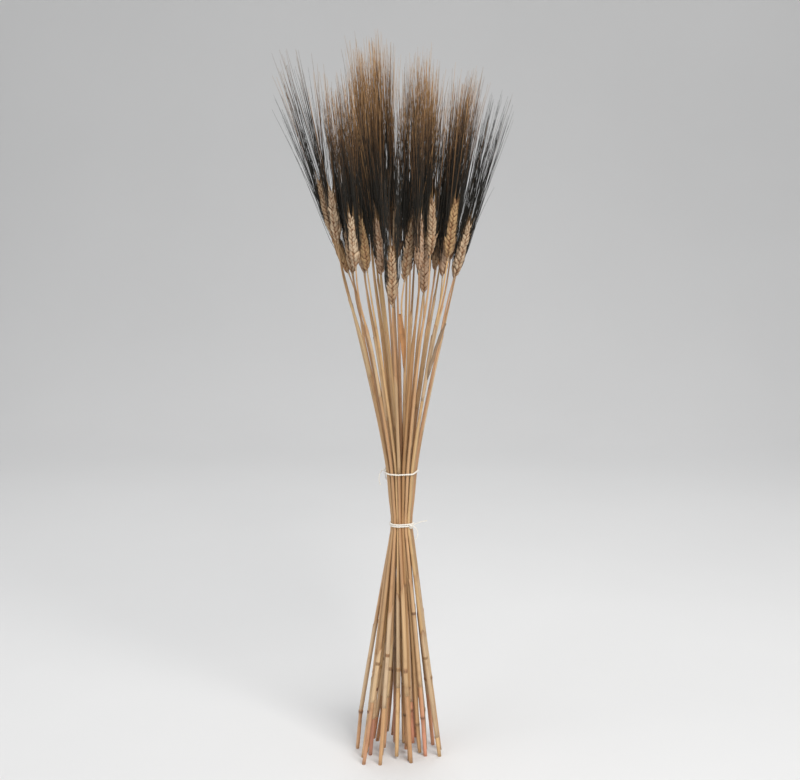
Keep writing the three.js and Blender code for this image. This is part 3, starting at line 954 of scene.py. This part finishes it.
# The lengths of shorter beards, as shares of the longest, and the share of their awns that thin beards keep.
BEARD_LENGTHS = {
    "01": 0.97, "02": 0.86, "04": 0.9, "06": 0.87, "09": 0.84, "10": 0.94, "11": 0.94, "12": 0.94, "13": 0.94,
    "14": 0.87, "15": 0.9, "16": 0.93, "17": 0.87, "18": 0.94, "19": 0.94, "21": 0.92, "25": 0.8, "26": 0.95,
    "27": 0.95, "28": 0.92, "32": 0.95, "33": 0.88, "34": 0.92, "35": 0.92, "36": 0.86,
}
THIN_BEARDS = {"02": 0.7, "03": 0.4, "05": 0.8, "08": 0.85, "12": 0.75, "19": 0.7, "36": 0.8}


def awn_lines(stalk, husks, rows, settings, draws):
    """The lines of one ear's awns, the length along each at its points, and how high on the ear each starts.

    At length s from its husk an awn is at  foot + set * s + (start - set) * turn * (1 - exp(-s / turn)):  it
    leaves along its husk and bends within the turn length to its own set, close to the ear's axis. A bow that
    grows with the square of s is added.
    """
    chance = husks.awned * THIN_BEARDS.get(stalk.number, 1.0)
    if int(stalk.number) > FRONT_EARS:
        chance = np.maximum(chance, GLUME_AWNS)
    grown = draws.random(len(chance)) < chance
    start = husks.frame[grown, 2]
    foot = husks.origin[grown] + start * husks.size[grown, 2:] * AWN_FOOT
    count = len(foot)
    opening = draws.normal(0.0, AWN_SCATTER, (count, 2)) + np.sign(start[:, :2]) * AWN_OPENING
    settled = unit(np.concatenate([np.tan(np.radians(opening)), np.ones((count, 1))], axis=1))
    climb = foot[:, 2] / foot[:, 2].max()
    longest = settings.length * BEARD_LENGTHS.get(stalk.number, 1.0)
    own_share = AWN_LEAST + (1.0 - AWN_LEAST) * draws.random(count) ** AWN_LENGTH_POWER
    length = longest * (1.0 - TOP_SHORTENING * climb) * own_share
    broken = draws.random(count) < BROKEN_CHANCE
    length = length * np.where(broken, draws.uniform(*BROKEN_LENGTH, count), 1.0)
    s = length[:, None] * AWN_SHARES
    bend = AWN_TURN * (1.0 - np.exp(-s / AWN_TURN))
    bow = draws.normal(0.0, AWN_BOW, (count, 1, 3)) * (1.0, 1.0, 0.0)
    line = (foot[:, None] + settled[:, None] * s[..., None] + (start - settled)[:, None] * bend[..., None]
            + bow * (AWN_SHARES ** 2)[None, :, None])
    return stalk.collar + line @ rows, s, climb


def awn_tone(stalk, height, s, climb, settings, draws):
    """Awn colours: dark up to a height of the awn's own, then brown, then golden, and straw at the husk."""
    count = len(s)
    dark = settings.dark_height + draws.normal(0.0, EAR_DARK_SCATTER)
    dark = dark + draws.normal(0.0, AWN_DARK_SCATTER, (count, 1)) + DARKER_BY * (stalk.number in DARK_TO_TIP)
    dark = dark - PALE_DROP * (draws.random((count, 1)) < PALE_CHANCE)
    browned = smoothstep(dark + DARK_EDGE, dark + BROWN_EDGE, height)
    golden = smoothstep(dark + BROWN_EDGE, dark + GOLD_EDGE, height)
    tone = mixed(mixed(settings.dark, settings.brown, browned), settings.tip, golden)
    straw = 1.0 - smoothstep(0.5 * MM, (STRAW_REACH + TOP_STRAW_REACH * climb[:, None] ** 4) * MM, s)
    tone = mixed(tone, settings.tip, STRAW_FOOT * straw)
    return tone * draws.uniform(*AWN_BRIGHTNESS, (count, 1, 1))


def awn_surface(stalk, husks, rows, settings):
    """The awns of one ear: a slim three-sided tube along each line.

    The radius falls to a share of itself with a power of the length that is left.
    """
    draws = stalk.random(AWN_DRAWS)
    line, s, climb = awn_lines(stalk, husks, rows, settings, draws)
    count = len(line)
    ahead = unit(line[:, -1] - line[:, 0])
    across = unit(np.cross(ahead, draws.normal(0.0, 1.0, (count, 3))))
    beside = np.cross(ahead, across)
    turn = full_turn(AWN_SIDES)[None, :, None]
    taper = TIP_RADIUS + (1.0 - TIP_RADIUS) * (1.0 - AWN_SHARES) ** TAPER
    radius = settings.radius * taper * draws.uniform(*AWN_THICKNESS, (count, 1))
    spokes = across[:, None] * np.cos(turn) + beside[:, None] * np.sin(turn)
    rings = line[:, :, None] + radius[..., None, None] * spokes[:, None]
    fibre = np.zeros_like(rings)
    fibre[..., 2] = s[..., None]
    fibre += draws.uniform(0.0, 1.0, (count, 1, 1, 3))
    tone = awn_tone(stalk, line[..., 2], s, climb, settings, draws)
    return closed_tubes(rings, np.broadcast_to(tone[:, :, None], rings.shape), fibre)


class WHEAT_OT_awns(bpy.types.Operator):
    """Make the beard of long awns on every ear"""

    bl_idname = "wheat.awns"
    bl_label = "Awns"

    def execute(self, context):
        scene = context.scene
        bristle = plant_material("Awn", Finish(
            lines=0.5, stretch=0.15, contrast=0.5, weather=0.0, weather_colour=srgb(60, 46, 36),
            rough=(0.42, 0.6), relief=0.1))
        for stalk in stalks:
            length = ear_length(stalk, scene.wheat_ears)
            husks = lay_husks(stalk, length, scene.wheat_ears)
            surface = awn_surface(stalk, husks, ear_directions(stalk), scene.wheat_awns)
            add_piece(f"awns_{stalk.number}", surface, bristle, f"stalk_{stalk.number}")
        return {"FINISHED"}


# Ties

# The tails' points from the knot in millimetres: away from the bundle, round it, and up.
LOWER_TAILS = [
    [(0, 0, 0), (5, 0, -1.5), (8, -0.5, -6), (8, -1, -11), (5, -1.5, -16)],
    [(0, 0, 0), (6, 1, 3), (12, 2, 5.5), (18, 3, 7)],
]
UPPER_TAILS = [
    [(0, 0, 0), (4, 2, -0.5), (6.5, 4, -5), (7, 5, -11), (5.5, 5, -17)],
    [(0, 0, 0), (3, -4, 0), (4.5, -7, -4), (4.5, -8.5, -9), (3.5, -9, -14)],
]
# Each tie: its piece, its node, the culms' ring it lies at, where its knot faces, its turns and its tails.
TIES = [
    ("string_lower", "lower_tie", LOWER_TIE_RING, (0.94, -0.34, 0.0), 2, LOWER_TAILS),
    ("string_upper", "upper_tie", UPPER_TIE_RING, (-0.94, 0.34, 0.0), 1, UPPER_TAILS),
]
LOOP_ANGLES, LOOP_STEP = 480, 0.45 * MM
# In thicknesses of the string: from a culm's skin to the loop, from turn to turn, and from loop to knot.
LOOP_CLEARANCE, LOOP_RISE, KNOT_STAND_OFF = 0.95, 1.9, 0.7
STRAND_SIDES, STRAND_LAP, GROOVE_LIGHT = 8, 0.85, 0.6
FUZZ, FUZZ_WAVES, FUZZ_STEP = 0.06, 7.0, 2.1
KNOT_SIZE, KNOT_STEPS = 0.95 * MM, 150
TAIL_STEPS, TAIL_THIN, TAIL_FRAY = 60, 0.62, 0.9


def taut_loop(ring, clearance, facing, turns, rise):
    """The line of a taut string round the culms at one of their rings.

    For each direction round the bundle the string lies on the culm that reaches farthest that way, at the
    clearance from its middle. It starts and ends at the knot's side, and climbs by rise in each turn.
    """
    centres = np.array([stalk.knots[ring] for stalk in stalks])
    start = np.arctan2(facing[1], facing[0])
    angle = start + np.linspace(0.0, 2.0 * np.pi * turns, LOOP_ANGLES * turns + 1)
    normal = np.stack([np.cos(angle), np.sin(angle)], axis=-1)
    touched = centres[np.argmax(normal @ centres[:, :2].T, axis=1)]
    climb = (angle - start) / (2.0 * np.pi) - turns / 2.0
    flat = touched[:, :2] + clearance * normal
    line = np.column_stack([flat, np.full(len(flat), centres[:, 2].mean()) + climb * rise])
    length = lengths_along(line)
    even = np.linspace(0.0, length[-1], int(length[-1] / LOOP_STEP))
    return np.column_stack([np.interp(even, length, line[:, axis]) for axis in range(3)])


def twisted_string(line, settings, side, thin=1.0, fray=0.0):
    """Two strands that wind round a line, half a turn apart, as closed tubes.

    thin is their share of the strand's full radius, and fray how far they part at the end. A strand is shaded
    where it lies close to the line, in the groove between the two.
    """
    along = lengths_along(line)
    across, beside = directions_across(line, side)
    turn = 2.0 * np.pi * along / settings.pitch
    loosened = STRAND_LAP + fray * smoothstep(0.8, 1.0, along / along[-1])
    radius = settings.strand * thin
    surfaces = []
    for phase in (0.0, np.pi):
        offset = np.cos(turn + phase)[:, None] * across + np.sin(turn + phase)[:, None] * beside
        strand = line + radius * loosened[:, None] * offset
        rings, fibre = tube_rings(strand, np.full(len(line), radius), STRAND_SIDES, side)
        fuzz = FUZZ * np.sin(FUZZ_WAVES * turn[:, None] + np.arange(STRAND_SIDES) * FUZZ_STEP + phase)
        rings += fuzz[..., None] * (rings - strand[:, None])
        off_line = np.linalg.norm(rings - line[:, None], axis=-1) / (2.0 * radius)
        lit = GROOVE_LIGHT + (1.0 - GROOVE_LIGHT) * smoothstep(0.15, 0.75, off_line)
        surfaces.append(closed_tube(rings, np.array(settings.colour) * lit[..., None], fibre))
    return joined(surfaces)


def knot_line(place, facing):
    """A trefoil: (sin t + 2 sin 2t, cos t - 2 cos 2t, -sin 3t), laid flat against the bundle."""
    t = np.linspace(0.0, 2.0 * np.pi, KNOT_STEPS)[:, None]
    round_bundle = (np.sin(t) + 2.0 * np.sin(2 * t)) * np.cross(UP, facing)
    upward = (np.cos(t) - 2.0 * np.cos(2 * t)) * UP
    return place + KNOT_SIZE * (round_bundle + upward - np.sin(3 * t) * facing)


def tie_surface(ring, facing, turns, tails, settings):
    """One tie: its turns round the bundle, its knot, and the two tails that leave the knot."""
    thick = 2.0 * settings.strand
    culm = np.mean([stalk.radii[ring] for stalk in stalks])
    facing = unit(np.array(facing))
    loop = taut_loop(ring, culm + thick * LOOP_CLEARANCE, facing, turns, LOOP_RISE * thick)
    place = (loop[0] + loop[-1]) / 2.0 + facing * thick * KNOT_STAND_OFF
    knot = knot_line(place, facing)
    surfaces = [twisted_string(loop, settings, UP), twisted_string(knot, settings, facing)]
    sideways = np.cross(UP, facing)
    for tail in tails:
        out, along, up = np.array(tail).T[..., None] * MM
        knots = place + out * facing + along * sideways + up * UP
        line = smooth_line(knots, np.linspace(0.0, chord_length(knots), TAIL_STEPS))
        surfaces.append(twisted_string(line, settings, sideways, TAIL_THIN, TAIL_FRAY))
    return joined(surfaces)


class WHEAT_OT_ties(bpy.types.Operator):
    """Make the two string ties with their knots and tails"""

    bl_idname = "wheat.ties"
    bl_label = "String ties"

    def execute(self, context):
        settings = context.scene.wheat_ties
        cotton = plant_material("Cotton string", Finish(
            lines=3.0, stretch=0.35, contrast=0.35, weather=0.15, weather_colour=srgb(190, 172, 146),
            rough=(0.85, 0.98), relief=0.8, sheen=0.3))
        for name, node, ring, facing, turns, tails in TIES:
            tie = tie_surface(ring, facing, turns, tails, settings)
            add_piece(name, tie, cotton, node)
        return {"FINISHED"}


# Leaf blades

BLADE_RINGS, BLADE_SIDES = 34, 16
BLADE_TWIST, BLADE_SWAY, SWAY_TURNS = 0.9, 0.15, 9.0
BLADE_FOOT, BLADE_TIP = 0.5, 0.15 * MM
BLADE_FOLD, BLADE_WAVE, WAVE_TURNS = 0.35, 0.35 * MM, 22.0
BLADE_STREAKS, TIP_DULLING = (0.75, 1.1), 0.35
# Each blade: its piece, its node, its colour and the seed of its streaks.
BLADES = [
    ("dry_blade_right", "leaf_blade_right", "dull", 31),
    ("dry_blade_front", "leaf_blade_front", "warm", 32),
]


def blade_surface(node, colour, settings, seed):
    """A dry blade that hangs along its node's line: a flat lens that twists and narrows down to a point.

    The fold at the midrib lifts both edges by their distance from it, and the edges wave by a sine.
    """
    draws = np.random.default_rng(seed)
    knots = node_rings(node)[0][::-1]
    at = np.linspace(0.0, chord_length(knots), BLADE_RINGS)
    line = smooth_line(knots, at)
    share = np.linspace(0.0, 1.0, BLADE_RINGS)
    ahead = unit(np.gradient(line, axis=0))
    away = unit((line.mean(axis=0) - MIDDLE) * (1.0, 1.0, 0.0))
    across = unit(np.cross(away, ahead))
    outward = np.cross(ahead, across)
    twist = BLADE_TWIST * share ** 2 + BLADE_SWAY * np.sin(SWAY_TURNS * share)
    wide = np.cos(twist)[:, None] * across + np.sin(twist)[:, None] * outward
    thin = np.cross(ahead, wide)
    outline = (BLADE_FOOT + (1.0 - BLADE_FOOT) * smoothstep(0.0, 0.3, share)) * (1.0 - share ** 4)
    half = 0.5 * settings.width * outline + BLADE_TIP
    turn = full_turn(BLADE_SIDES)
    x = half[:, None] * np.cos(turn)
    wave = BLADE_WAVE * np.sin(WAVE_TURNS * share + 1.0)[:, None] * np.cos(turn) ** 2
    y = 0.5 * settings.thickness * np.sin(turn) + BLADE_FOLD * np.abs(x) + wave
    rings = line[:, None] + x[..., None] * wide[:, None] + y[..., None] * thin[:, None]
    fibre = np.stack([x, np.zeros_like(x), np.broadcast_to(at[:, None], x.shape)], axis=-1)
    dull_tip = 1.0 - TIP_DULLING * smoothstep(0.75, 1.0, share)
    streak = draws.uniform(*BLADE_STREAKS, BLADE_SIDES)[None] * dull_tip[:, None]
    return closed_tube(rings, np.array(colour) * streak[..., None], fibre)


class WHEAT_OT_leaves(bpy.types.Operator):
    """Make the two dry leaf blades that are left on the straws"""

    bl_idname = "wheat.leaves"
    bl_label = "Leaf blades"

    def execute(self, context):
        settings = context.scene.wheat_leaves
        leaf = plant_material("Dry leaf", Finish(
            lines=3.2, stretch=0.015, contrast=0.9, weather=0.6, weather_colour=srgb(96, 74, 56),
            rough=(0.6, 0.85), relief=0.8))
        for name, node, colour, seed in BLADES:
            blade = blade_surface(node, getattr(settings, colour), settings, seed)
            add_piece(name, blade, leaf, node)
        return {"FINISHED"}


# Stage

# Each soft light: its name, place, what it is turned to, side, power in watts, tint and spread in degrees.
SOFT_LIGHTS = [
    ("key", (0.9, -1.7, 2.3), (0.0, 0.0, 0.3), 1.5, 62.0, (1.0, 0.985, 0.96), 180.0),
    ("fill", (-1.8, -1.5, 1.2), (0.0, 0.0, 0.4), 2.0, 16.0, (0.97, 0.985, 1.0), 180.0),
    ("floor wash", (0.0, 1.5, 3.2), (0.0, 0.9, 0.0), 1.6, 4.4, (1.0, 1.0, 1.0), 65.0),
]
WORLD_TINT, WORLD_STRENGTH = (0.96, 0.975, 1.0, 1.0), 0.45
SWEEP_RADIUS, WALL_AT, WALL_TOP, FLOOR_REACH = 1.0, 2.4, 5.0, 6.0
SWEEP_STEPS = 24
SENSOR_WIDTH = 36.0


def add_sweep(settings):
    """A floor that curves up into a wall: a profile of floor, quarter circle and wall, carried sideways."""
    bend = np.linspace(0.0, np.pi / 2, SWEEP_STEPS)
    y = np.concatenate([[-FLOOR_REACH], WALL_AT - SWEEP_RADIUS + SWEEP_RADIUS * np.sin(bend), [WALL_AT]])
    z = np.concatenate([[0.0], SWEEP_RADIUS - SWEEP_RADIUS * np.cos(bend), [WALL_TOP]])
    x = np.array([-FLOOR_REACH, FLOOR_REACH])
    points = np.stack([np.repeat(x, len(y)), np.tile(y, 2), np.tile(z, 2)], axis=-1)
    first = np.arange(len(y) - 1)
    quads = np.stack([first, first + len(y), first + len(y) + 1, first + 1], axis=-1)
    mesh = bpy.data.meshes.new("backdrop")
    mesh.from_pydata(points.tolist(), [], quads.tolist())
    mesh.polygons.foreach_set("use_smooth", np.ones(len(quads), bool))
    mesh.materials.append(backdrop_material(settings.floor))
    sweep = bpy.data.objects.new("backdrop", mesh)
    bpy.context.scene.collection.objects.link(sweep)


def add_soft_light(name, place, target, side, power, tint, spread):
    """A square lamp, turned from its place to its target."""
    light = bpy.data.lights.new(name, "AREA")
    light.size = side
    light.energy = power
    light.color = tint
    light.spread = np.radians(spread)
    lamp = bpy.data.objects.new(name, light)
    lamp.location = place
    direction = Vector(target) - Vector(place)
    lamp.rotation_euler = direction.to_track_quat("-Z", "Y").to_euler()
    bpy.context.scene.collection.objects.link(lamp)


class WHEAT_OT_stage(bpy.types.Operator):
    """Make the camera, the pale floor and backdrop, and the soft light"""

    bl_idname = "wheat.stage"
    bl_label = "Stage"

    def execute(self, context):
        scene = context.scene
        settings = scene.wheat_stage
        lens = bpy.data.cameras.new("camera")
        lens.lens = settings.lens
        lens.sensor_width = SENSOR_WIDTH
        camera = bpy.data.objects.new("camera", lens)
        camera.location = (MIDDLE[0] - TIE_ASIDE, MIDDLE[1] - settings.distance, settings.height)
        camera.rotation_euler = Euler((np.pi / 2 - settings.pitch, 0.0, 0.0))
        scene.collection.objects.link(camera)
        scene.camera = camera
        add_sweep(settings)
        for light in SOFT_LIGHTS:
            add_soft_light(*light)
        world = bpy.data.worlds.new("studio")
        world.use_nodes = True
        world.node_tree.nodes["Background"].inputs["Color"].default_value = WORLD_TINT
        world.node_tree.nodes["Background"].inputs["Strength"].default_value = WORLD_STRENGTH
        scene.world = world
        scene.view_settings.view_transform = "Standard"
        return {"FINISHED"}


class WHEAT_PT_bundle(bpy.types.Panel):
    """Lists the makers of the bundle's pieces and their settings"""

    bl_idname = "WHEAT_PT_bundle"
    bl_label = "Bearded wheat bundle"
    bl_space_type = "VIEW_3D"
    bl_region_type = "UI"
    bl_category = "Wheat"

    def draw(self, context):
        for operator, group in MAKERS:
            column = self.layout.column()
            column.operator(operator.bl_idname)
            settings = getattr(context.scene, group)
            for name in settings.__annotations__:
                column.prop(settings, name)


SETTINGS = {
    "wheat_stage": WheatStageSettings,
    "wheat_culms": WheatCulmSettings,
    "wheat_ears": WheatEarSettings,
    "wheat_awns": WheatAwnSettings,
    "wheat_ties": WheatTieSettings,
    "wheat_leaves": WheatLeafSettings,
}
MAKERS = [
    (WHEAT_OT_stage, "wheat_stage"),
    (WHEAT_OT_culms, "wheat_culms"),
    (WHEAT_OT_ears, "wheat_ears"),
    (WHEAT_OT_awns, "wheat_awns"),
    (WHEAT_OT_ties, "wheat_ties"),
    (WHEAT_OT_leaves, "wheat_leaves"),
]
CLASSES = [*SETTINGS.values(), *(operator for operator, _ in MAKERS), WHEAT_PT_bundle]


def register():
    for cls in CLASSES:
        bpy.utils.register_class(cls)
    for name, group in SETTINGS.items():
        setattr(bpy.types.Scene, name, PointerProperty(type=group))


def unregister():
    for name in SETTINGS:
        delattr(bpy.types.Scene, name)
    for cls in reversed(CLASSES):
        bpy.utils.unregister_class(cls)


def main():
    """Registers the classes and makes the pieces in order."""
    register()
    bpy.ops.wheat.stage()
    bpy.ops.wheat.culms()
    bpy.ops.wheat.ears()
    bpy.ops.wheat.awns()
    bpy.ops.wheat.ties()
    bpy.ops.wheat.leaves()


if __name__ == "__main__":
    main()
